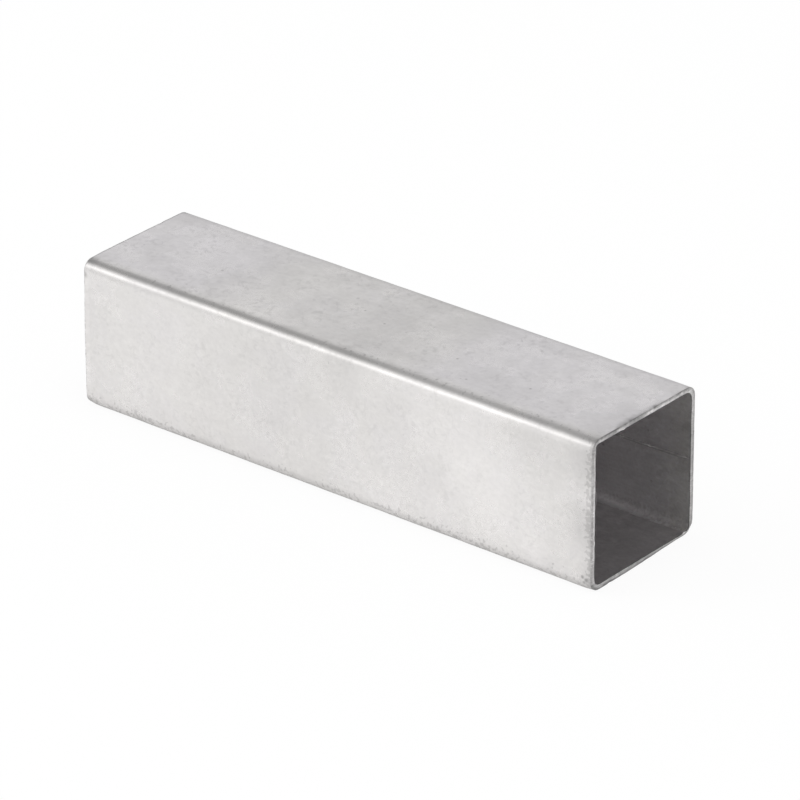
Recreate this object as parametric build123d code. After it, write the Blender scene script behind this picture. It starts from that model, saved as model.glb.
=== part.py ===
from build123d import *
import os

# A straight length of square steel tube, rolled and seam welded as one piece,
# with both ends sawn square. Sizes are in millimetres. The tube lies along X,
# its bottom face is on Z = 0, and the origin is the middle of that face.

# Stock
side = 50.0  # outside width and height
wall = 1.5  # thickness of the strip that the tube is rolled from
bend_radius = 1.9  # inside radius of the four bends
length = 200.0  # from one saw cut to the other

# Weld, inside the +Y wall. Outside, the flash is planed flush and leaves no step.
bead_width = 1.1  # across the bead, between the points where it meets the wall
bead_height = 0.35  # how far the bead stands into the tube
bead_toe_radius = 0.2  # hollow on each side, where the bead runs out into the wall
bead_above_middle = 0.7  # how far the seam lies above the middle of its wall

# Saw cuts
outer_edge_break = 0.25  # 45 degree break round the outside of each cut
inner_edge_break = 0.15  # the same round the inside, where the burr is taken off


def weld_bead():
    """Section of the inside bead: a low arc on a root that ends in the middle of the wall."""
    seam = Vector(side / 2 - wall, bead_above_middle)
    across = Vector(0, bead_width / 2)
    crown = seam - Vector(bead_height, 0)
    root = seam + Vector(wall / 2, 0)
    arc = ThreePointArc(seam - across, crown, seam + across)
    sides_and_root = Polyline(seam + across, root + across, root - across, seam - across)
    return make_face([arc, sides_and_root])


def is_bead_toe(corner):
    """True for the two corners where the bead's arc meets the flat of the wall."""
    on_wall = abs(corner.X - (side / 2 - wall)) < 1e-6
    beside_bead = abs(abs(corner.Y - bead_above_middle) - bead_width / 2) < 1e-6
    return on_wall and beside_bead


def tube_section():
    """Section across the tube, centred, with sketch X along the part's Y and sketch Y along its Z."""
    outside = RectangleRounded(side, side, bend_radius + wall)
    inside = RectangleRounded(side - 2 * wall, side - 2 * wall, bend_radius)
    section = outside - inside + weld_bead()
    return fillet(section.vertices().filter_by(is_bead_toe), bead_toe_radius)


def square_tube():
    """The section carried from cut to cut, with the inside and outside edges of both cuts broken."""
    first_cut = Plane(origin=(-length / 2, 0, side / 2), x_dir=(0, 1, 0), z_dir=(1, 0, 0))
    tube = extrude(first_cut * tube_section(), length)
    cuts = tube.faces().filter_by(Axis.X)
    tube = chamfer([edge for cut in cuts for edge in cut.inner_wires()[0].edges()], inner_edge_break)
    cuts = tube.faces().filter_by(Axis.X)
    return chamfer([edge for cut in cuts for edge in cut.outer_wire().edges()], outer_edge_break)


os.makedirs("parts", exist_ok=True)
export_step(square_tube(), "parts/square_tube.step")
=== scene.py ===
from math import radians
import bpy
import numpy as np
from mathutils import Matrix, Vector


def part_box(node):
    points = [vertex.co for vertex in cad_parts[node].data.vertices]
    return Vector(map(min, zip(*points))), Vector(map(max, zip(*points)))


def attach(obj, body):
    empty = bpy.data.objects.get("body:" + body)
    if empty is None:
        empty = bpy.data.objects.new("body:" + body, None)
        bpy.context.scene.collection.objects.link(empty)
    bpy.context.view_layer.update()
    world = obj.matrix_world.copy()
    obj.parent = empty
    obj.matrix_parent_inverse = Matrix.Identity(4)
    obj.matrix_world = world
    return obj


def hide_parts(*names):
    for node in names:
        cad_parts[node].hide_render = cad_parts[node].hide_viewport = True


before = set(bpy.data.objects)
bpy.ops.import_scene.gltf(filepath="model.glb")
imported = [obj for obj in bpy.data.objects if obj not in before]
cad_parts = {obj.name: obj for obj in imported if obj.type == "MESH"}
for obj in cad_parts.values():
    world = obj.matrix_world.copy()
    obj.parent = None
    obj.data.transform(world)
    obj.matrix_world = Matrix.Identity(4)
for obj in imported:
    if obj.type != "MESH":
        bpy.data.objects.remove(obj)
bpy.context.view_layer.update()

# Metres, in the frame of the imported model: the tube lies along X with its bottom face on Z = 0.
tubeLow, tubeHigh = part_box("square_tube")
tubeSide = tubeHigh[2] - tubeLow[2]
tubeLength = tubeHigh[0] - tubeLow[0]
halfLength = tubeLength / 2
halfSide = tubeSide / 2
print("stage 1: frame loaded, tube", round(tubeLength, 4), "long and", round(tubeSide, 4), "square")


# Noise made of waves, for the meshes
def softNoise(points, size, seed, waves=16):
    # Sum of cosines of points . k + phase, where each k has a random direction and 0.6 to 1.5 times the
    # length 2 pi / size. It is scaled to a spread of about 1, and is continuous everywhere in space.
    draw = np.random.default_rng(seed)
    way = draw.normal(size=(waves, 3))
    way /= np.linalg.norm(way, axis=1)[:, None]
    k = way * (2 * np.pi / size) * draw.uniform(0.6, 1.5, (waves, 1))
    phase = draw.uniform(0, 2 * np.pi, waves)
    return np.cos(points @ k.T + phase).sum(-1) * np.sqrt(2 / waves)


def unevenness(points, values):
    return softNoise(points, values["size"], values["seed"]) * values["depth"]


def between(value, low, high):
    # 0 below low, 1 above high, and a smooth step from one to the other.
    t = np.clip((value - low) / (high - low), 0, 1)
    return t * t * (3 - 2 * t)


# The tube
tubeShape = {
    "wall": 0.0015,
    # how far from the corner each bend starts to turn: far top, near top, near bottom, far bottom
    "bendReach": (0.0046, 0.0050, 0.0043, 0.0049),
    "innerReach": (0.0043, 0.0017, 0.0036, 0.0028),
    "boreRaised": 0.00015,  # how far the bore lies above the middle of the outside
    "bendFullness": 2.8,  # 2 is a circle, more keeps the turn closer to the corner
    "flatSteps": 80,  # quads across the flat of a wall
    "bendSteps": 17,  # quads round a bend
    "lengthSteps": 72,  # quads along the tube between the fine rows at the cuts
    "hollow": 0.00004,  # how far the middle of a wall sinks after rolling
    "flatEnd": 0.005,  # how far from the side that hollow ends
    "bendZone": (0.011, 0.005),  # how far from the side the waves start to give way to the ripple, and end
    # a slow dip of the near top bend along the tube; zone is how far up and near it starts and is full
    "sag": {"at": -0.02, "size": 0.09, "depth": 0.00022, "zone": (0.022, 0.047)},
    # long and short unevenness of the walls, and the ripple of the bends, where the rolls press hardest; the
    # metal is sunk by so many depths of each that its crests don't stand out
    "waves": {"depth": 0.00001, "size": 0.04, "seed": 31, "sunk": 2},
    "dapple": {"depth": 0.0000035, "size": 0.009, "seed": 32, "sunk": 1},
    "ripple": {"depth": 0.000018, "size": 0.010, "seed": 33, "sunk": 1.2},
}

sawCut = {
    # the rounding of both edges, which varies round the ring by a share of its reach, between two limits
    "outerBreak": {"reach": 0.00022, "depth": 0.2, "size": 0.005, "seed": 21, "limits": (0.5, 1.6)},
    "innerBreak": {"reach": 0.00018, "depth": 0.2, "size": 0.005, "seed": 22, "limits": (0.4, 1.8)},
    # the bevel that a file left under the right cut: from where to where across, how far below the middle it
    # starts and is full, how deep, and how far along the tube
    "filed": {"across": (-0.012, 0.026), "below": (0.0205, 0.0235), "depth": 0.00108, "reach": 0.004},
    "breakSteps": 5,  # quads across a rounded edge
    "ringSteps": 5,  # quads across the flat of a cut
    # how far the sawn face lies behind its crests, which are this many depths above its middle
    "rough": {"depth": 0.000012, "size": 0.0017, "seed": 23, "crest": 2.5},
    "fineRows": (0.0002, 0.0003, 0.0004, 0.0005, 0.0006, 0.0008, 0.001, 0.0012, 0.0015, 0.002),
}

handling = {
    "knockReach": 0.00025,  # how near a cut a knock presses along the tube
    "knockSpread": 0.8,  # share of its depth that also goes into the wall
    "knockFade": 0.7,  # how much less of it is left on the inside
    "burrZone": (0.6, 0.95),  # how far through the wall a burr starts and is full
}

# Small knocks on the edges, and crumbs of burr left standing on the inner edge of the cuts
knocks = [
    {"at": (-0.1000, -0.0250, 0.0457), "size": 0.0009, "depth": 0.00020, "dark": 0.6},
    {"at": (-0.1000, -0.0300, 0.0440), "size": 0.0090, "depth": 0.00055, "dark": 0.0},
    {"at": (0.1000, -0.0128, 0.0500), "size": 0.0007, "depth": 0.00016, "dark": 0.7},
    {"at": (0.1000, -0.0066, 0.0500), "size": 0.0009, "depth": 0.00022, "dark": 0.55},
    {"at": (0.1000, 0.0053, 0.0500), "size": 0.0008, "depth": 0.00026, "dark": 0.9},
    {"at": (0.1000, -0.0232, 0.0161), "size": 0.0005, "depth": 0.00026, "dark": 0.5},
    {"at": (-0.1000, 0.0117, 0.0500), "size": 0.0007, "depth": 0.00014, "dark": 0.6},
    {"at": (-0.1000, -0.0248, 0.0002), "size": 0.0021, "depth": 0.00060, "dark": 0.3},
    {"at": (-0.1000, 0.0040, 0.0000), "size": 0.0008, "depth": 0.00025, "dark": 0.6},
    {"at": (0.1000, -0.0160, 0.0000), "size": 0.0007, "depth": 0.00016, "dark": 0.4},
    {"at": (0.1000, -0.0248, 0.0002), "size": 0.0022, "depth": 0.00040, "dark": 0.0},
]

burrs = [
    {"at": (0.1000, 0.0210, 0.0020), "size": 0.0008, "height": 0.00060},
    {"at": (0.1000, -0.0102, 0.0485), "size": 0.0008, "height": 0.00018},
    {"at": (0.1000, -0.0235, 0.0163), "size": 0.0006, "height": 0.00022},
    {"at": (-0.1000, 0.0080, 0.0015), "size": 0.0012, "height": 0.00020},
    {"at": (-0.1000, -0.0180, 0.0485), "size": 0.0009, "height": 0.00018},
    {"at": (-0.1000, 0.0235, 0.0300), "size": 0.0010, "height": 0.00016},
]


def closeness(points, mark):
    # A bell round the mark's place: exp(-(distance / size)^2).
    return np.exp(-(np.linalg.norm(points - np.array(mark["at"]), axis=-1) / mark["size"]) ** 2)


def ringOutline(shape, half, reaches):
    # Walks once round the section. Each station has a place and an outward normal. A flat is straight, and a
    # bend is a quarter of |x|^n + |y|^n = reach^n, whose normal is (x^(n-1), y^(n-1)) made unit.
    n = shape["bendFullness"]
    # even steps of the normal's angle, which give the place on the bend back
    angle = np.linspace(0, np.pi / 2, shape["bendSteps"] + 1)[1:-1]
    cosine, sine = np.cos(angle) ** (1 / (n - 1)), np.sin(angle) ** (1 / (n - 1))
    size = 1 / (cosine ** n + sine ** n) ** (1 / n)
    places, normals = [], []
    for quarter, reach in enumerate(reaches):
        turn = quarter * np.pi / 2
        out = np.array([np.cos(turn), np.sin(turn)])
        along = np.array([-np.sin(turn), np.cos(turn)])
        flat = np.linspace(reaches[quarter - 1] - half, half - reach, shape["flatSteps"] + 1)
        places.append(out * half + flat[:, None] * along)
        normals.append(np.repeat(out[None], len(flat), 0))
        places.append((half - reach + reach * size * cosine)[:, None] * out
                      + (half - reach + reach * size * sine)[:, None] * along)
        normals.append(np.cos(angle)[:, None] * out + np.sin(angle)[:, None] * along)
    return np.concatenate(places), np.concatenate(normals)


def lengthStations(shape, cut):
    # Places along the tube between the two rims, close together near the saw cuts.
    near = halfLength - cut["outerBreak"]["reach"] * 2 - np.cumsum((0,) + cut["fineRows"])
    middle = np.linspace(-near[-1], near[-1], shape["lengthSteps"] + 1)[1:-1]
    return np.concatenate([-near, middle, near[::-1]])


def gridQuads(rows, columns, closedRows=False, closedColumns=False):
    # The corners of each cell of a grid, by their number. A closed grid joins its last line to its first.
    cells = np.arange(rows - (not closedRows)), np.arange(columns - (not closedColumns))
    row, column = np.meshgrid(*cells, indexing="ij")
    nextRow, nextColumn = (row + 1) % rows, (column + 1) % columns
    corners = [(row, column), (nextRow, column), (nextRow, nextColumn), (row, nextColumn)]
    return np.stack([r * columns + c for r, c in corners], -1).reshape(-1, 4)


def addPiece(name, points, faces, materials):
    mesh = bpy.data.meshes.new(name)
    mesh.from_pydata(points.reshape(-1, 3), [], faces)
    for material in materials:
        mesh.materials.append(material)
    piece = bpy.data.objects.new(name, mesh)
    bpy.context.collection.objects.link(piece)
    return piece


def addMask(mesh, name, values):
    mask = mesh.attributes.new(name, "FLOAT", "POINT")
    mask.data.foreach_set("value", values.astype(np.float32).ravel())


def makeTube(shape, cut, worn, dents, crumbs, materials):
    # The surface is place(u) + (innerPlace(u) - place(u)) * depth / wall - normal(u) * sink, where u runs
    # round the section and depth is 0 on the outside and the wall's thickness on the inside. Rows run from
    # the left rim along the outside to the right rim, over the cut, back along the inside and over the left
    # cut. Both edges of a cut are quarter rounds.
    wall = shape["wall"]
    place, normal = ringOutline(shape, halfSide, shape["bendReach"])
    innerPlace = ringOutline(shape, halfSide - wall, shape["innerReach"])[0] + [0, shape["boreRaised"]]
    around = len(place)
    straight = lengthStations(shape, cut)
    turn = np.linspace(0, np.pi / 2, cut["breakSteps"] + 1)
    ring = np.linspace(0, 1, cut["ringSteps"] + 1)[1:-1]
    parts = [straight, turn, ring, turn, straight[::-1], turn, ring, turn]
    kind = np.concatenate([np.full(len(part), number) for number, part in enumerate(parts)])
    station = np.concatenate(parts)[:, None]
    row = kind[:, None]

    rim = np.column_stack([np.zeros(around), place])
    outer, inner = [edge["reach"] * np.clip(1 + unevenness(rim, edge), *edge["limits"])[None]
                    for edge in (cut["outerBreak"], cut["innerBreak"])]
    face = outer + (wall - inner - outer) * station  # depth across the flat of a cut, from the outside
    backFace = wall - inner - (wall - inner - outer) * station
    choose = [row == number for number in range(len(parts))]
    level, zero = station + 0 * outer, 0 * outer
    early, late = 1 - np.sin(station), 1 - np.cos(station)  # the two coordinates of a quarter round
    x = np.select(choose, [
        level, halfLength - outer * early, halfLength + zero, halfLength - inner * late,
        level, -halfLength + inner * early, -halfLength + zero, -halfLength + outer * late])
    depth = np.select(choose, [
        0 * level, outer * late, face, wall - inner * early,
        wall + 0 * level, wall - inner * late, backFace, outer * early])

    # Both faces of a wall wave together, and the flats sink a little towards their middle.
    surface = np.empty(x.shape + (3,))
    surface[..., 0] = x
    surface[..., 1:] = place
    offCentre = np.abs(place).min(1)
    waves, dapple, ripple, sag = [shape[name] for name in ("waves", "dapple", "ripple", "sag")]
    bend = between(offCentre, *[halfSide - edge for edge in shape["bendZone"]])
    wave = unevenness(surface, waves) * (1 - bend) + unevenness(surface, dapple)
    wave += unevenness(surface, ripple) * bend
    flatness = np.clip(1 - (offCentre / (halfSide - shape["flatEnd"])) ** 2, 0, 1)
    sink = shape["hollow"] * flatness + wave + dapple["sunk"] * dapple["depth"]
    sink += ripple["sunk"] * ripple["depth"] * bend
    nearTop = between(place[:, 1] - place[:, 0], *sag["zone"])
    sink += sag["depth"] * nearTop * np.exp(-((x - sag["at"]) / sag["size"]) ** 2)
    sink = np.maximum(sink + waves["sunk"] * waves["depth"] * (1 - bend), 0)
    filed = cut["filed"]
    taken = filed["depth"] * between(place[:, 0], *filed["across"]) * between(-place[:, 1], *filed["below"])
    sink += taken * between(x, halfLength - filed["reach"], halfLength) * (1 - depth / wall)

    # The knocks press the edges in, the burrs lean into the bore, and the sawn faces are a little rough.
    surface[..., 1:] += (innerPlace - place) * (depth / wall)[..., None]
    standing = surface + np.array([0, 0, halfSide])
    towardsBore = between(depth / wall, *worn["burrZone"])
    outwards = 1 - worn["knockFade"] * depth / wall
    burr = np.max([closeness(standing, crumb) * crumb["height"] for crumb in crumbs], 0) * towardsBore
    burrShare = np.max([closeness(standing, crumb) for crumb in crumbs], 0) * towardsBore
    knocked = np.max([closeness(standing, dent) * dent["depth"] for dent in dents], 0) * outwards
    darkened = np.max([closeness(standing, dent) * dent["dark"] for dent in dents], 0) * outwards
    onCut = between(np.abs(x), halfLength - worn["knockReach"], halfLength)
    sawn = cut["rough"]
    behind = np.minimum(softNoise(standing, sawn["size"], sawn["seed"]) - sawn["crest"], 0)
    rough = behind * sawn["depth"] * onCut
    surface[..., 0] += np.sign(x) * (rough - knocked * onCut)
    surface[..., 1:] -= normal * (sink + knocked * worn["knockSpread"] + burr)[..., None]
    surface[..., 2] += halfSide

    # Materials by row: outside, inside, sawn
    material = np.select([kind == 0, kind == 4], [0, 1], 2)
    material[np.flatnonzero(kind == 0)[-1]] = 2
    material[np.flatnonzero(kind == 4)[-1]] = 2
    # The grid closes on itself both ways, so it has no seam and no pole.
    tube = addPiece("squareTube", surface, gridQuads(*x.shape, True, True), materials)
    mesh = tube.data
    mesh.polygons.foreach_set("material_index", np.repeat(material, around).astype(np.int32))
    mesh.shade_smooth()
    mesh.update()
    addMask(mesh, "throughWall", depth / wall)
    addMask(mesh, "knock", darkened)
    addMask(mesh, "burr", burrShare)
    return tube


# The weld bead inside
weldBead = {
    "aboveMiddle": 0.0004,
    "width": 0.0009,
    "height": 0.00030,
    "spread": 0.62,  # half of its foot, as a share of the width
    "sunk": 0.00012,  # how far its underside lies in the wall
    "edgeSunk": 0.25,  # share of that at its edges
    "clearance": 0.00004,  # how far its foot stands off the wall's waves
    "endGap": 0.0002,  # how far it stops before a cut
    "fullFrom": 0.004,  # how far from a cut it has its full height
    "swell": {"depth": 0.15, "size": 0.012, "seed": 42},  # share of the height and width
    "ripple": {"depth": 0.42, "size": 0.0016, "seed": 43, "limit": 1.6},  # share of the height
    "calm": {"zone": (0.0860, 0.0892), "share": 0.5},  # the crest is more even close to the right cut
    "drift": {"depth": 0.00006, "size": 0.03, "seed": 41},  # how far it wanders from a straight line
    "dip": {"at": 0.078, "size": 0.010, "depth": 0.0003},
    "lengthSteps": 620,
    "roundSteps": 16,
}


def makeWeldBead(bead, material):
    # A profile carried along the seam: over the wall it is height * (1 - t^2)^2 for t from -1 to 1 across,
    # and under it a shallow keel closes the loop. The height and the middle line vary along the seam, and the
    # two ends run out over a few millimetres before each cut.
    wallFace = halfSide - tubeShape["wall"] - tubeShape["hollow"] - bead["clearance"]
    reach = halfLength - bead["endGap"]
    x = np.linspace(-reach, reach, bead["lengthSteps"] + 1)[:, None]
    half = bead["roundSteps"] // 2
    over = np.linspace(-1, 1, half + 1)[None]
    under = np.linspace(1, -1, half + 1)[None, 1:-1]
    across = np.concatenate([over, under], 1)
    isOver = np.concatenate([np.ones_like(over), np.zeros_like(under)], 1)
    line = np.concatenate([x, x * 0, x * 0], 1)
    inside = between(np.abs(x), reach, halfLength - bead["fullFrom"])
    dip, calm, ripple = bead["dip"], bead["calm"], bead["ripple"]
    drift = unevenness(line, bead["drift"])[:, None]
    drift -= dip["depth"] * np.exp(-((x - dip["at"]) / dip["size"]) ** 2)
    swell = 1 + unevenness(line, bead["swell"])[:, None]
    spots = np.stack(np.broadcast_arrays(x, across * bead["width"] / 2, 0 * x), -1)
    crests = np.clip(softNoise(spots, ripple["size"], ripple["seed"]), -ripple["limit"], ripple["limit"])
    rippled = 1 + ripple["depth"] * crests * (1 - calm["share"] * between(x, *calm["zone"]))
    profile = 1 - across ** 2
    rise = bead["height"] * profile ** 2 * rippled * swell * isOver
    edge = bead["edgeSunk"]
    keel = bead["sunk"] * ((edge + (1 - edge) * profile) * (1 - isOver) + edge * isOver)
    z = halfSide + bead["aboveMiddle"] + drift + across * bead["width"] * bead["spread"] * swell * inside
    y = wallFace - (rise - keel) * inside
    points = np.stack(np.broadcast_arrays(x, y, z), -1)
    rows, columns = points.shape[:2]
    quads = gridQuads(rows, columns, closedColumns=True)
    caps = [list(range(columns)), list(range((rows - 1) * columns, rows * columns))[::-1]]
    beadPiece = addPiece("weldBead", points, quads.tolist() + caps, [material])
    beadPiece.data.shade_smooth()
    beadPiece.data.update()
    return beadPiece


# Node helpers
def feed(tree, node, inputs):
    # Sets inputs of a node: a socket is linked to its input, anything else becomes the input's plain value.
    for name, value in inputs.items():
        if isinstance(value, bpy.types.NodeSocket):
            tree.links.new(value, node.inputs[name])
        else:
            node.inputs[name].default_value = value


def addNode(tree, kind, inputs=None, **settings):
    made = tree.nodes.new(kind)
    for name, value in settings.items():
        setattr(made, name, value)
    feed(tree, made, inputs or {})
    return made


def calc(tree, operation, *values):
    return addNode(tree, "ShaderNodeMath", dict(enumerate(values)), operation=operation).outputs[0]


def times(tree, product, *others):
    for other in others:
        product = calc(tree, "MULTIPLY", product, other)
    return product


def step(tree, value, low, high, lowValue=0.0, highValue=1.0):
    inputs = {"Value": value, "From Min": low, "From Max": high, "To Min": lowValue, "To Max": highValue}
    return addNode(tree, "ShaderNodeMapRange", inputs, interpolation_type="SMOOTHSTEP").outputs[0]


def blend(tree, share, one, other):
    return addNode(tree, "ShaderNodeMix", {0: share, 6: one, 7: other}, data_type="RGBA").outputs[2]


def noise(tree, place, scale, detail=2.0, roughness=0.5, distortion=0.0, output="Fac"):
    inputs = {"Vector": place, "Scale": scale, "Detail": detail, "Roughness": roughness,
              "Distortion": distortion}
    return addNode(tree, "ShaderNodeTexNoise", inputs).outputs[output]


def newGroup(name, inputs, outputs):
    # Inputs are a name, a kind and a value; outputs are names of floats.
    tree = bpy.data.node_groups.new(name, "ShaderNodeTree")
    for socketName, kind, value in inputs:
        socket = tree.interface.new_socket(socketName, in_out="INPUT", socket_type="NodeSocket" + kind)
        if value is not None:
            socket.default_value = value
    for socketName in outputs:
        tree.interface.new_socket(socketName, in_out="OUTPUT", socket_type="NodeSocketFloat")
    return tree, addNode(tree, "NodeGroupInput").outputs, addNode(tree, "NodeGroupOutput")


# Effects that more than one steel finish uses
def makeMottleGroup():
    # Clouds of two sizes, as the scale and oil of the mill leave them. Value is 0 to 1 about a middle of 0.5.
    # Small is the share of the small clouds, and Tint is a third pattern, for the colour.
    tree, given, out = newGroup("millMottle", [("Place", "Vector", None), ("Size", "Float", 0.02),
                                               ("Small", "Float", 0.4)], ["Value", "Tint"])
    place, scale = given["Place"], calc(tree, "DIVIDE", 1.0, given["Size"])
    large = noise(tree, place, scale, detail=3.0, roughness=0.55, distortion=0.3)
    small = noise(tree, place, times(tree, scale, 3.7), roughness=0.55)  # 3.7 times finer
    tint = noise(tree, place, times(tree, scale, 1.3), distortion=0.8)
    clouds = addNode(tree, "ShaderNodeMix", {0: given["Small"], 2: large, 3: small}).outputs[0]
    feed(tree, out, {"Value": step(tree, clouds, 0.25, 0.75), "Tint": step(tree, tint, 0.3, 0.7)})
    return tree


def makeGrainGroup():
    # The fine grain of rolled strip: half noise drawn out along the tube, half an even fine grain.
    tree, given, out = newGroup("rolledGrain", [("Place", "Vector", None), ("Size", "Float", 0.0006),
                                                ("Drawn", "Float", 4.0)], ["Height"])
    place, scale = given["Place"], calc(tree, "DIVIDE", 1.0, given["Size"])
    shorter = calc(tree, "DIVIDE", 1.0, given["Drawn"])
    squeeze = addNode(tree, "ShaderNodeCombineXYZ", {0: shorter, 1: 1.0, 2: 1.0})
    drawn = addNode(tree, "ShaderNodeVectorMath", {0: place, 1: squeeze.outputs[0]}, operation="MULTIPLY")
    lines = noise(tree, drawn.outputs[0], scale, detail=1.0)
    even = noise(tree, place, scale, detail=1.0, roughness=0.6)
    feed(tree, out, {"Height": calc(tree, "MULTIPLY_ADD", lines, 0.5, times(tree, even, 0.5))})
    return tree


def makeFleckGroup():
    # Scattered dark flecks and pits. Cells of a Voronoi pattern hold one fleck each, in the share of cells
    # given. Size is a share of the cell. A finer noise bends the pattern, so that no fleck is round.
    tree, given, out = newGroup("darkFlecks", [("Place", "Vector", None), ("Spacing", "Float", 0.004),
                                               ("Size", "Float", 0.1), ("Share", "Float", 0.4)], ["Mask"])
    place, scale = given["Place"], calc(tree, "DIVIDE", 1.0, given["Spacing"])
    bent = noise(tree, place, times(tree, scale, 4.0), output="Color")
    farthest = (0.0006, 0.0006, 0.0006)  # how far it moves the pattern
    moved = addNode(tree, "ShaderNodeVectorMath", {0: bent, 1: farthest, 2: place}, operation="MULTIPLY_ADD")
    inputs = {"Vector": moved.outputs[0], "Scale": scale, "Randomness": 1.0}
    cells = addNode(tree, "ShaderNodeTexVoronoi", inputs).outputs
    pick = addNode(tree, "ShaderNodeSeparateColor", {0: cells["Color"]}).outputs
    reach = times(tree, given["Size"], calc(tree, "ADD", pick[1], 0.4))  # 0.4 to 1.4 of Size
    spot = step(tree, cells["Distance"], reach, times(tree, reach, 0.3))
    feed(tree, out, {"Mask": times(tree, spot, calc(tree, "LESS_THAN", pick[0], given["Share"]))})
    return tree


def makeWormGroup():
    # Short winding marks in loose clusters: the level lines of a bent noise, broken up by a second noise into
    # dark and light stretches, and faded by a coarse one.
    tree, given, out = newGroup("scaleWorms", [("Place", "Vector", None), ("Size", "Float", 0.003),
                                               ("Cluster", "Float", 0.014)], ["Dark", "Light"])
    bent, breakUp, coarse = [
        noise(tree, given["Place"], calc(tree, "DIVIDE", share, given[size]), detail, distortion=distortion)
        for size, share, detail, distortion in (("Size", 1.0, 1.0, 0.6), ("Size", 1.1, 0.0, 0.0),
                                                ("Cluster", 1.0, 2.0, 0.0))]
    line = step(tree, calc(tree, "ABSOLUTE", calc(tree, "SUBTRACT", bent, 0.5)), 0.09, 0.02)
    line = times(tree, line, step(tree, coarse, 0.36, 0.62, 0.35, 1.0))
    feed(tree, out, {"Dark": times(tree, line, step(tree, breakUp, 0.49, 0.58)),
                     "Light": times(tree, line, step(tree, breakUp, 0.51, 0.42))})
    return tree


def makeCutGroup():
    # How near a saw cut is: 1 at the cut and 0 at Reach from it. Noise moves this edge by up to 1.1 of Reach.
    tree, given, out = newGroup("nearCut", [("Place", "Vector", None), ("Reach", "Float", 0.006)], ["Mask"])
    x = addNode(tree, "ShaderNodeSeparateXYZ", {0: given["Place"]}).outputs[0]
    away = calc(tree, "SUBTRACT", halfLength, calc(tree, "ABSOLUTE", x))
    breakUp = noise(tree, given["Place"], 700.0, detail=4.0, roughness=0.65)
    breakUp = calc(tree, "SUBTRACT", breakUp, 0.5)
    ragged = calc(tree, "MULTIPLY_ADD", breakUp, times(tree, given["Reach"], 2.2), away)
    feed(tree, out, {"Mask": step(tree, ragged, given["Reach"], 0.0)})
    return tree


effects = {"mottle": makeMottleGroup(), "grain": makeGrainGroup(), "worms": makeWormGroup(),
           "flecks": makeFleckGroup(), "cut": makeCutGroup()}


# What the steel finishes share
def newSteel(name, edgeTint):
    # Bare metal. EdgeTint is the reflectance left at grazing angles.
    material = bpy.data.materials.new(name)
    material.use_nodes = True
    tree = material.node_tree
    shader = tree.nodes["Principled BSDF"]
    feed(tree, shader, {"Metallic": 1.0, "Specular Tint": (edgeTint, edgeTint, edgeTint, 1)})
    place = addNode(tree, "ShaderNodeTexCoord").outputs["Object"]
    axes = {axis.name: axis for axis in addNode(tree, "ShaderNodeSeparateXYZ", {0: place}).outputs}
    return material, tree, shader, place, axes


def useEffects(tree, place, chosen):
    # Places each chosen effect with its own values, and gives all their outputs by effect and output.
    found = {}
    for effect, values in chosen.items():
        made = addNode(tree, "ShaderNodeGroup", node_tree=effects[effect])
        feed(tree, made, {"Place": place, **values})
        found.update({effect + output.name: output for output in made.outputs})
    return found


def readMask(tree, name):
    return addNode(tree, "ShaderNodeAttribute", attribute_name=name).outputs["Fac"]


def region(tree, axes, limits):
    # The product of a smooth step for each limit: its axis, where it starts, where it is full, and the levels
    # there if they aren't 0 and 1.
    return times(tree, *[step(tree, axes[axis], *ends) for axis, *ends in limits])


def shade(tree, masks, values):
    # The light of the clouds, times a smooth step of each mask that has a tone. A tone is the factor where
    # the mask is 1, or the mask's low and high and the factors there.
    light = step(tree, masks["mottleValue"], 0.0, 1.0, *values["clouds"])
    for name, tone in values["tones"].items():
        limits = tone if isinstance(tone, tuple) else (0.0, 1.0, 1.0, tone)
        light = times(tree, light, step(tree, masks[name], *limits))
    return light


def addStainsAndPaintedLight(tree, place, uneven, light, spots):
    # Multiplies light by 1 + lift near each spot, which paints stains, pits, and light and shade. It starts
    # at
    # 1.25 of the spot's reach and is full at 0.35 of it. Uneven is a noise that makes the edges ragged.
    for at, reach, lift in spots:
        away = addNode(tree, "ShaderNodeVectorMath", {0: place, 1: at}, operation="DISTANCE").outputs["Value"]
        ragged = calc(tree, "MULTIPLY_ADD", uneven, 0.5 * reach, away)
        light = times(tree, light, step(tree, ragged, 1.25 * reach, 0.35 * reach, 1.0, 1.0 + lift))
    return light


def dress(tree, shader, steel, light, rough, height, depth):
    # The colour is steel times light, and height goes into a bump of this depth.
    colour = addNode(tree, "ShaderNodeVectorMath", {0: steel, 3: light}, operation="SCALE").outputs[0]
    bump = addNode(tree, "ShaderNodeBump", {"Height": height, "Distance": depth, "Strength": 1.0}).outputs[0]
    feed(tree, shader, {"Base Color": colour, "Roughness": rough, "Normal": bump})


# The outside
onNearWall = ("Y", -0.0205, -0.0230)
onTop = ("Z", 0.0475, 0.0490)

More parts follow.
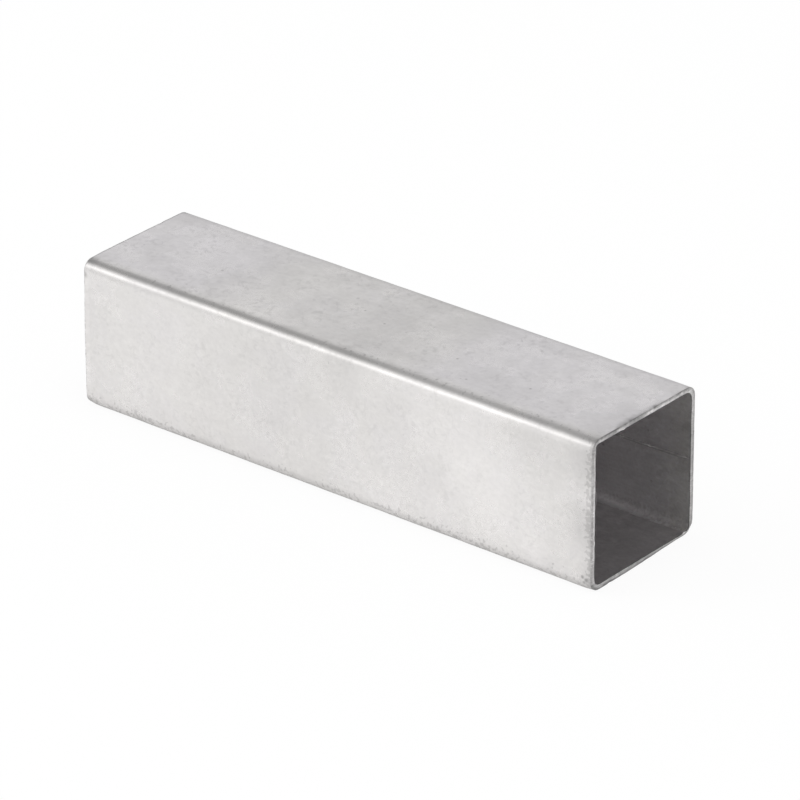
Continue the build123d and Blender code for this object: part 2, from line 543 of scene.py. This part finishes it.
outsideFinish = {
    "warm": (0.745, 0.729, 0.7135, 1),
    "cool": (0.746, 0.727, 0.739, 1),
    "coolClouds": (0.26, 0.07),  # how much of the cool colour the clouds bring, and how much is everywhere
    "edgeTint": 0.7,
    "roughness": (0.32, 0.26),  # in the dark clouds and in the light ones
    "rougher": {"wormsDark": 0.05, "worn": 0.1},
    "effects": {
        "mottle": {"Size": 0.020, "Small": 0.4},
        "grain": {"Size": 0.0014, "Drawn": 1.6},
        "worms": {"Size": 0.0023, "Cluster": 0.012},
        "flecks": {"Spacing": 0.0085, "Size": 0.075, "Share": 0.4},
        "cut": {"Reach": 0.0014},
    },
    "grit": (800.0, 0.6, 0.6),  # scale, detail and roughness of the noise
    "patches": (65.0, 2.0),
    "bump": {"depth": 0.000015, "flecks": -0.4, "grit": 0.3},  # the grain counts as 1
    # where the grit is worn: the edge of the top at the near bend, just under that bend, and the foot and the
    # right end of the near wall
    "worn": {
        "topBand": [("Y", -0.0187, -0.0217), ("Y", -0.0238, -0.0222), ("Z", 0.046, 0.049, 0.0, 0.65)],
        "underBend": [("Z", 0.0420, 0.0445, 0.0, 0.35), ("Z", 0.0462, 0.0450), onNearWall,
                      ("X", -0.055, -0.075, 1.0, 0.3)],
        "foot": [("Z", 0.0085, 0.0015), onNearWall, ("X", -0.065, -0.085, 0.95, 1.3)],
        "rightEnd": [("X", 0.0945, 0.0995, 0.0, 1.25), onNearWall],
    },
    "wornPatches": (0.3, 0.65, 0.65, 1.25),
    "wornGrit": (0.79, -0.28, 0.08),  # grit from which it is worn, what full wear adds to that, and the range
    # the middle of the top is as warm as the near wall, and its ends are cooler
    "coolTop": [("Z", 0.046, 0.0495), ("Y", -0.0222, -0.0170, 0.1, 1.0),
                ("fromMiddle", 0.025, 0.055, 0.1, 0.75)],
    "warmMiddle": -0.012,
    # places with a tone of their own: the top is darker beside the right cut and along its left edge, and
    # its far part a little darker; the others paint light and shade, as said above each
    "regions": {
        # painted shade: the foot of the near wall is darker, where its bend mirrors the shadowed floor
        "foot": [("Z", 0.0046, 0.0020), ("Y", -0.0200, -0.0230)],
        "farTop": [("Y", 0.0130, 0.0180)],
        # painted shade: a darker line along the far edge of the top, where it bends away
        "farEdge": [("Y", 0.0195, 0.0222)],
        "topRim": [onTop, ("X", 0.0965, 0.0998), ("Y", -0.0140, -0.0100), ("Y", -0.0055, -0.0025, 1.0, 0.6),
                   ("Y", 0.0090, 0.0115, 1.0, 0.05)],
        "leftLine": [onTop, ("X", -0.0991, -0.0996), ("grit", 0.4, 0.5, 0.5, 1.0)],
        # painted light: the left end of the near wall is lighter
        "leftEnd": [("X", -0.0972, -0.0985), onNearWall],
        # painted light and shade along the near top bend: darker towards the left end, lighter towards the
        # right
        "nearTopBend": [("Y", -0.0205, -0.0225), ("Z", 0.0460, 0.0475)],
        # painted shade: a darker line along the outside of the cuts, faint on the left
        "cutLine": [("X", -0.05, 0.05, 0.15, 1.0)],
    },
    "clouds": (0.978, 1.022),
    "tones": {
        "grainHeight": (0.3, 0.7, 0.975, 1.025), "wormsDark": 0.955, "wormsLight": 1.03, "flecksMask": 0.84,
        "worn": 0.84, "foot": 0.86, "farTop": 0.965, "farEdge": 0.91, "topRim": 0.67, "leftLine": 0.66,
        "nearTopBend": (-1.0, 1.0, 0.92, 1.11), "cutLine": 0.86, "leftEnd": 1.04, "knock": 0.5,
    },
    # stains and painted light and shade: place, reach and how much lighter or darker
    "stains": [
        ((0.045, -0.025, 0.036), 0.024, 0.06),
        ((0.062, -0.025, 0.020), 0.026, 0.10),
        ((0.020, -0.025, 0.004), 0.022, 0.06),
        ((0.080, -0.025, 0.046), 0.018, -0.07),
        ((-0.070, -0.025, 0.022), 0.034, 0.03),
        ((-0.022, -0.027, 0.036), 0.034, -0.04),
        # painted shade: the near wall darkens towards the right cut, a little less at mid height
        ((0.102, -0.025, 0.044), 0.0175, -0.21),
        ((0.102, -0.025, 0.0225), 0.0150, -0.22),
        ((0.102, -0.025, 0.006), 0.0085, -0.18),
        ((0.1005, -0.025, 0.0315), 0.0070, 0.11),
        ((0.0982, -0.025, 0.0040), 0.0011, -0.48),
        ((0.0967, -0.025, 0.0047), 0.0009, -0.45),
        ((0.0973, -0.025, 0.0030), 0.0008, -0.40),
        ((-0.0990, -0.0220, 0.0498), 0.0040, -0.25),
        ((-0.0995, -0.0250, 0.0453), 0.0018, -0.34),
        ((-0.0975, -0.0250, 0.0020), 0.0035, -0.11),
        ((-0.0610, 0.0090, 0.0500), 0.0100, 0.05),
        ((0.0080, -0.0175, 0.0508), 0.0120, -0.07),
        ((-0.0230, -0.0250, 0.0170), 0.0120, -0.035),
        ((0.0780, -0.0250, 0.0090), 0.0100, 0.08),
        ((0.0400, -0.0250, 0.0090), 0.0130, 0.06),
        ((0.0040, -0.0255, 0.0430), 0.0140, -0.05),
        ((0.0960, -0.0040, 0.0505), 0.0120, -0.08),
        ((0.0170, -0.0165, 0.0505), 0.0095, -0.045),
        ((0.0000, 0.0090, 0.0505), 0.0110, -0.040),
        # painted light on the dark reflection band of the near top bend
        ((-0.0320, -0.0185, 0.0515), 0.0110, 0.045),
        ((-0.0150, 0.0010, 0.0505), 0.0070, -0.035),
        ((-0.0610, 0.0200, 0.0505), 0.0080, 0.035),
        ((-0.0520, -0.0255, 0.0260), 0.0120, -0.022),
        ((0.0620, -0.0255, 0.0300), 0.0100, 0.022),
        ((-0.0995, 0.0235, 0.0496), 0.0030, -0.35),
        ((0.070, 0.012, 0.050), 0.034, 0.02),
        ((0.006, -0.003, 0.052), 0.026, -0.065),
        ((-0.055, 0.005, 0.052), 0.022, -0.04),
        ((0.020, 0.026, 0.022), 0.045, -0.04),
        ((-0.070, 0.025, 0.030), 0.030, 0.04),
        ((0.030, 0.010, -0.002), 0.050, -0.05),
        # pits in the top
        ((0.0448, -0.0151, 0.050), 0.0007, -0.32),
        ((0.0341, -0.0059, 0.050), 0.0007, -0.30),
        ((-0.0616, -0.0030, 0.050), 0.0007, -0.32),
        ((0.0017, -0.0009, 0.050), 0.0007, -0.30),
        ((-0.0638, -0.0172, 0.050), 0.0007, -0.28),
        ((0.0637, -0.0082, 0.050), 0.0007, -0.28),
        ((-0.0088, 0.0026, 0.050), 0.0006, -0.32),
    ],
}


def makeOutsideSteel(values):
    material, tree, shader, place, axes = newSteel("millSteel", values["edgeTint"])
    masks = useEffects(tree, place, values["effects"])
    grit, patches = [noise(tree, place, *values[name]) for name in ("grit", "patches")]
    axes["grit"] = grit
    axes["fromMiddle"] = calc(tree, "ABSOLUTE", calc(tree, "SUBTRACT", axes["X"], values["warmMiddle"]))
    near = 0.0
    for limits in values["worn"].values():
        near = calc(tree, "MAXIMUM", near, region(tree, axes, limits))
    near = times(tree, near, step(tree, patches, *values["wornPatches"]))
    unworn, perWear, over = values["wornGrit"]
    limit = calc(tree, "MULTIPLY_ADD", near, perWear, unworn)
    masks["worn"] = step(tree, grit, limit, calc(tree, "ADD", limit, over))
    for name, limits in values["regions"].items():
        masks[name] = region(tree, axes, limits)
    masks["nearTopBend"] = times(tree, masks["nearTopBend"], calc(tree, "DIVIDE", axes["X"], halfLength))
    masks["cutLine"] = times(tree, masks["cutLine"], masks["cutMask"])
    masks["knock"] = readMask(tree, "knock")
    cool = calc(tree, "MULTIPLY_ADD", masks["mottleTint"], *values["coolClouds"])
    cool = calc(tree, "ADD", cool, region(tree, axes, values["coolTop"]))
    light = addStainsAndPaintedLight(tree, place, patches, shade(tree, masks, values), values["stains"])
    rough = step(tree, masks["mottleValue"], 0.0, 1.0, *values["roughness"])
    for name, more in values["rougher"].items():
        rough = calc(tree, "MULTIPLY_ADD", masks[name], more, rough)
    bump = values["bump"]
    height = calc(tree, "MULTIPLY_ADD", masks["flecksMask"], bump["flecks"], masks["grainHeight"])
    height = calc(tree, "MULTIPLY_ADD", grit, bump["grit"], height)
    steel = blend(tree, cool, values["warm"], values["cool"])
    dress(tree, shader, steel, light, rough, height, bump["depth"])
    return material


# The bore
onFarWall = ("Y", 0.0205, 0.0225)
wallFoot = [onFarWall, ("Z", 0.0160, 0.0045)]

insideFinish = {
    "colour": (0.850, 0.831, 0.838, 1),
    "warm": (0.838, 0.826, 0.803, 1),  # the far wall beside a cut
    "edgeTint": 0.87,
    "roughness": (0.45, 0.34),
    "effects": {
        "mottle": {"Size": 0.02, "Small": 0.5},
        "grain": {"Size": 0.0007, "Drawn": 6.0},
        "worms": {"Size": 0.0032, "Cluster": 0.015},
        "flecks": {"Spacing": 0.006, "Size": 0.08, "Share": 0.4},
        "cut": {"Reach": 0.014},
    },
    "grit": (650.0, 1.0),  # scale and detail of the noise
    "wander": (160.0, 2.0),
    "speckle": (1100.0, 0.0),
    "bumpDepth": 0.00004,
    # the painted shadow where the bead runs out above: how far above the bead it lies and how far it wanders
    "toe": (0.70, 0.685, 0.685, 1),
    "toeAbove": 0.0004,
    "toeWander": 0.0004,
    "toeLine": [("fromToe", 0.00032, 0.00012), onFarWall, ("X", 0.084, 0.089, 0.15, 1.0),
                ("X", 0.030, 0.060, 0.5, 1.0)],
    "toeGrit": (0.35, 0.5, 0.5, 1.0),
    "bendLine": {"Y": 0.0216, "Z": 0.00172},  # where the painted highlight line runs along the far bottom bend
    # places with a tone of their own, all painted light and shade but the speckles: the far wall is lighter
    # towards its foot, down to that painted highlight line
    "regions": {
        "floor": [("Z", 0.0032, 0.0019), ("Y", 0.0217, 0.0203)],
        "deep": [("X", 0.088, 0.066)],
        "wallFoot": wallFoot,
        "footAtCut": wallFoot + [("X", 0.080, 0.096)],
        "turned": [("Y", 0.0205, 0.0220), ("Z", 0.0041, 0.0031)],
        "lowest": [onFarWall, ("Z", 0.0028, 0.0020)],
        "speckled": [onFarWall, ("Z", 0.0060, 0.0040), ("speckle", 0.58, 0.42)],
        # painted highlight: a bright streak along the far bottom bend, broken up by the grit
        "rubbed": [("fromLine", 0.0012, 0.0002), ("grit", 0.42, 0.56, 0.2, 1.0),
                   ("X", 0.0940, 0.0820, 0.4, 1.0)],
    },
    "clouds": (0.92, 1.08),
    "tones": {
        "grainHeight": (0.3, 0.7, 0.95, 1.05), "wormsDark": 0.92, "wormsLight": 1.08, "flecksMask": 0.8,
        "floor": 0.87, "deep": 1.08, "wallFoot": 1.055, "footAtCut": 0.93, "turned": 0.925, "lowest": 1.10,
        "speckled": 0.89, "rubbed": 1.8,
    },
}


def makeInsideSteel(values):
    material, tree, shader, place, axes = newSteel("boreSteel", values["edgeTint"])
    masks = useEffects(tree, place, values["effects"])
    for name in ("grit", "wander", "speckle"):
        axes[name] = noise(tree, place, *values[name])
    above = calc(tree, "SUBTRACT", axes["Z"], halfSide + weldBead["aboveMiddle"] + values["toeAbove"])
    wander = calc(tree, "SUBTRACT", axes["wander"], 0.5)
    axes["fromToe"] = calc(tree, "ABSOLUTE", calc(tree, "MULTIPLY_ADD", wander, values["toeWander"], above))
    squares = [calc(tree, "POWER", calc(tree, "SUBTRACT", axes[axis], middle), 2.0)
               for axis, middle in values["bendLine"].items()]
    axes["fromLine"] = calc(tree, "POWER", calc(tree, "ADD", *squares), 0.5)
    for name, limits in values["regions"].items():
        masks[name] = region(tree, axes, limits)
    # painted shadow of the bead: a dark line just above it, strongest close to the right cut
    toe = times(tree, region(tree, axes, values["toeLine"]), step(tree, axes["grit"], *values["toeGrit"]))
    warm = times(tree, masks["cutMask"], region(tree, axes, [onFarWall]))
    steel = blend(tree, toe, blend(tree, warm, values["colour"], values["warm"]), values["toe"])
    rough = step(tree, masks["mottleValue"], 0.0, 1.0, *values["roughness"])
    dress(tree, shader, steel, shade(tree, masks, values), rough, masks["grainHeight"], values["bumpDepth"])
    return material


# The sawn faces
sawnFinish = {
    "face": (0.55, 0.543, 0.54, 1),
    "outerLine": (0.38, 0.373, 0.37, 1),  # the dark line along the outer edge: partly dull steel, partly painted shade
    # painted glint: the burrs' tips are bright
    "burr": (0.92, 0.91, 0.90, 1),
    "edgeTint": 0.6,
    "roughness": (0.46, 0.32),  # in a saw mark and beside it
    "effects": {
        "mottle": {"Size": 0.006, "Small": 0.5},
        "flecks": {"Spacing": 0.0022, "Size": 0.2, "Share": 0.4},
        "worms": {"Size": 0.0016, "Cluster": 0.005},
    },
    # saw marks run across the section, at a slant to the walls
    "markSize": 0.00035,  # from one saw mark to the next
    "markSlant": 28,  # degrees
    "markStretch": (0.2, 0.12, 1.0),
    "markLevels": (0.3, 0.7),
    "bumpDepth": 0.00005,
    "patches": (90.0, 3.0),  # scale and detail of the noise
    "ragged": 0.22,  # share of the wall over which the clouds move the edge of the dark line
    # the dark line is faint on the left cut, and fades in the middle of the top and bottom rims
    "line": [("through", 0.46, 0.24), ("patches", 0.35, 0.55, 0.35, 1.0), ("X", -0.05, 0.05, 0.2, 1.0),
             ("fromRubbed", 0.0015, 0.0055, 0.2, 1.0)],
    "rubbedMiddle": -0.005,
    "burrEdge": (0.1, 0.6),
    "regions": {
        "under": [("Z", 0.0040, 0.0018), ("through", 0.62, 0.38)],  # painted shade on the outer half of the bottom rim
        "upright": [("X", 0.0, -0.05), ("Y", -0.0215, -0.0235)],  # painted light on the near rim of the left cut
    },
    "clouds": (0.86, 1.12),
    "tones": {
        "marks": (0.3, 0.7, 0.88, 1.12), "flecksMask": 0.65, "wormsDark": 0.78, "wormsLight": 1.2,
        "across": (-0.05, 0.0, 1.04, 0.80),  # painted shade from a cut's near top side to its far bottom side
        "under": 0.74, "upright": 1.35, "knock": 0.45,
    },
    # stains and painted light and shade: place, reach and how much lighter or darker; the dark spots on the
    # top rim sit at knocks, the rest paint light and shade round the rim
    "stains": [
        ((0.1, -0.0158, 0.0495), 0.0058, -0.36),
        ((0.1, -0.0048, 0.0495), 0.0078, -0.40),
        ((0.1, 0.0110, 0.0495), 0.0145, 0.20),
        ((0.1, -0.0243, 0.0250), 0.0120, 0.15),
        ((0.1, -0.0240, 0.0475), 0.0050, -0.20),
        ((0.1, 0.0243, 0.0455), 0.0085, 0.14),
        ((0.1, 0.0230, 0.0330), 0.0100, -0.10),
        ((0.1, -0.0243, 0.0310), 0.0060, -0.10),
        # painted glint on the burr at the inner bottom corner
        ((0.1, 0.0205, 0.0019), 0.0009, 0.80),
        ((0.1, -0.0240, 0.0110), 0.0090, 0.10),
    ],
}


def makeSawnSteel(values):
    material, tree, shader, place, axes = newSteel("sawnSteel", values["edgeTint"])
    masks = useEffects(tree, place, values["effects"])
    slant = (radians(values["markSlant"]), 0, 0)
    inputs = {"Vector": place, "Rotation": slant, "Scale": values["markStretch"]}
    slanted = addNode(tree, "ShaderNodeMapping", inputs).outputs[0]
    masks["marks"] = noise(tree, slanted, 1 / values["markSize"])
    masks["across"] = calc(tree, "SUBTRACT", axes["Y"], axes["Z"])
    masks["knock"] = readMask(tree, "knock")
    clouds = calc(tree, "SUBTRACT", masks["mottleValue"], 0.5)
    axes["through"] = calc(tree, "MULTIPLY_ADD", clouds, values["ragged"], readMask(tree, "throughWall"))
    axes["patches"] = noise(tree, place, *values["patches"])
    axes["fromRubbed"] = calc(tree, "ABSOLUTE", calc(tree, "SUBTRACT", axes["Y"], values["rubbedMiddle"]))
    for name, limits in values["regions"].items():
        masks[name] = region(tree, axes, limits)
    steel = blend(tree, region(tree, axes, values["line"]), values["face"], values["outerLine"])
    # the burrs' bright tips: a painted glint
    steel = blend(tree, step(tree, readMask(tree, "burr"), *values["burrEdge"]), steel, values["burr"])
    light = addStainsAndPaintedLight(tree, place, axes["patches"], shade(tree, masks, values), values["stains"])
    rough = step(tree, masks["marks"], *values["markLevels"], *values["roughness"])
    dress(tree, shader, steel, light, rough, masks["marks"], values["bumpDepth"])
    return material


# The weld bead's steel
beadFinish = {
    "light": (0.69, 0.679, 0.673, 1),
    "dark": (0.57, 0.56, 0.555, 1),
    "scaled": (0.61, 0.598, 0.59, 1),  # where mill scale still covers it
    "edgeTint": 0.6,
    "roughness": (0.5, 0.32),
    "effects": {"mottle": {"Size": 0.003, "Small": 0.5}},
    # where it is rubbed bright: a short stretch near the right cut, and everything deep in the bore
    "bare": [[("X", 0.0740, 0.0770), ("X", 0.0888, 0.0868)], [("X", 0.05, 0.03)]],
}


def makeBeadSteel(values):
    material, tree, shader, place, axes = newSteel("weldSteel", values["edgeTint"])
    masks = useEffects(tree, place, values["effects"])
    bare = calc(tree, "MAXIMUM", *[region(tree, axes, limits) for limits in values["bare"]])
    steel = blend(tree, masks["mottleTint"], values["light"], values["dark"])
    rough = step(tree, masks["mottleValue"], 0.0, 1.0, *values["roughness"])
    feed(tree, shader, {"Base Color": blend(tree, bare, values["scaled"], steel), "Roughness": rough})
    return material


steels = [makeOutsideSteel(outsideFinish), makeInsideSteel(insideFinish), makeSawnSteel(sawnFinish)]
tube = makeTube(tubeShape, sawCut, handling, knocks, burrs, steels)
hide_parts("square_tube")
bead = makeWeldBead(weldBead, makeBeadSteel(beadFinish))
for piece in (tube, bead):
    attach(piece, "root")
    print("stage 2:", piece.name, "made,", len(piece.data.polygons), "faces")


# Floor, light and camera
studio = {
    "floorSize": 12.0,
    "floorSteps": 8,
    "floorColour": (0.93, 0.93, 0.93, 1),
    "seenWhite": 0.92,  # share of plain white in the floor as the camera sees it
    "mirroredWhite": 0.5,  # the same as the metal sees it
    "softLight": (-56, 29),  # azimuth and elevation of the middle of the soft light
    "softLightReach": (41, -7),  # degrees from its middle where it starts, and where it would be full
    "softLightLevel": 1.0,
    # level of the light by elevation: pale walls, a dimmer ceiling
    "levels": ((0, 0.9), (13, 0.9), (26, 1.05), (38, 0.5), (50, 0.40), (90, 0.45)),
}

softboxes = [
    {"name": "overheadSoftbox", "place": (0.1, -0.1, 1.7), "width": 1.2, "power": 11},
    {"name": "sideSoftbox", "place": (-1.2, -0.9, 1.0), "width": 0.9, "power": 6},
]

mainView = {
    "azimuth": 39.358,
    "elevation": 26.366,
    "roll": -0.213,
    "distance": 1.77908,
    "aim": (0.0046, 0.00282, 0.02354),
    "lens": 261.933,
    "sensorWidth": 36,
    "clip": (0.01, 50),
}


def direction(azimuth, elevation):
    # Azimuth 0 is -Y and turns towards +X.
    a, e = radians(azimuth), radians(elevation)
    return Vector((np.sin(a) * np.cos(e), -np.cos(a) * np.cos(e), np.sin(e)))


def makeFloor(values):
    steps = values["floorSteps"]
    line = np.linspace(-values["floorSize"] / 2, values["floorSize"] / 2, steps + 1)
    x, y = np.meshgrid(line, line, indexing="ij")
    material = bpy.data.materials.new("paleFloor")
    material.use_nodes = True
    tree = material.node_tree
    tree.nodes.clear()
    path = addNode(tree, "ShaderNodeLightPath")
    mirrored = calc(tree, "MAXIMUM", path.outputs["Is Glossy Ray"], path.outputs["Is Transmission Ray"])
    share = calc(tree, "MAXIMUM", times(tree, path.outputs["Is Camera Ray"], values["seenWhite"]),
                 times(tree, mirrored, values["mirroredWhite"]))
    matt = addNode(tree, "ShaderNodeBsdfDiffuse", {"Color": values["floorColour"]})
    white = addNode(tree, "ShaderNodeEmission", {"Color": (1, 1, 1, 1), "Strength": 1.0})
    mix = addNode(tree, "ShaderNodeMixShader", {0: share, 1: matt.outputs[0], 2: white.outputs[0]})
    addNode(tree, "ShaderNodeOutputMaterial", {"Surface": mix.outputs[0]})
    floor = addPiece("studioFloor", np.stack([x, y, x * 0], -1), gridQuads(*x.shape), [material])


def makeWorld(values):
    world = bpy.data.worlds.new("studioLight")
    bpy.context.scene.world = world
    world.use_nodes = True
    tree = world.node_tree
    tree.nodes.clear()
    way = addNode(tree, "ShaderNodeTexCoord").outputs["Generated"]
    split = addNode(tree, "ShaderNodeSeparateXYZ", {0: way})
    elevation = calc(tree, "ARCSINE", split.outputs[2])
    ramp = addNode(tree, "ShaderNodeValToRGB", {0: calc(tree, "DIVIDE", elevation, np.pi / 2)})
    stops = ramp.color_ramp.elements
    while len(stops) < len(values["levels"]):
        stops.new(0.5)
    for stop, (degrees, level) in zip(stops, values["levels"]):
        stop.position = degrees / 90
        stop.color = (level, level, level, 1)
    middle = addNode(tree, "ShaderNodeVectorMath", {0: way, 1: direction(*values["softLight"])},
                     operation="DOT_PRODUCT")
    angle = calc(tree, "ARCCOSINE", middle.outputs["Value"])
    start, full = values["softLightReach"]
    soft = step(tree, angle, radians(start), radians(full), 0.0, values["softLightLevel"])
    light = addNode(tree, "ShaderNodeVectorMath", {0: ramp.outputs[0], 1: soft}, operation="ADD")
    path = addNode(tree, "ShaderNodeLightPath")
    seen = blend(tree, path.outputs["Is Camera Ray"], light.outputs[0], (1, 1, 1, 1))
    back = addNode(tree, "ShaderNodeBackground", {"Color": seen, "Strength": 1.0})
    addNode(tree, "ShaderNodeOutputWorld", {"Surface": back.outputs[0]})


def makeCamera(azimuth, elevation, roll, distance, aim, lens, sensorWidth, clip):
    # The camera stands at a distance from aim, turned by roll about its own line of sight.
    back = direction(azimuth, elevation)
    right = Vector((0, 0, 1)).cross(back).normalized()
    turned = Matrix((right, back.cross(right), back)).transposed().to_4x4()
    turned = turned @ Matrix.Rotation(radians(roll), 4, "Z")
    data = bpy.data.cameras.new("mainCamera")
    data.lens = lens
    data.sensor_width = sensorWidth
    data.clip_start, data.clip_end = clip
    camera = bpy.data.objects.new("mainCamera", data)
    bpy.context.collection.objects.link(camera)
    camera.matrix_world = Matrix.Translation(Vector(aim) + back * distance) @ turned
    bpy.context.scene.camera = camera


def addSoftbox(name, place, width, power):
    # A square lamp that looks at the origin. Metal mirrors the studio light instead of it.
    data = bpy.data.lights.new(name, "AREA")
    data.shape = "SQUARE"
    data.size = width
    data.energy = power
    lamp = bpy.data.objects.new(name, data)
    bpy.context.collection.objects.link(lamp)
    lamp.location = place
    lamp.rotation_euler = (-Vector(place)).to_track_quat("-Z", "Y").to_euler()
    lamp.visible_glossy = False


makeFloor(studio)
makeWorld(studio)
for softbox in softboxes:
    addSoftbox(**softbox)
makeCamera(**mainView)
bpy.context.scene.view_settings.view_transform = "Standard"
print("stage 3: floor, light and camera ready")
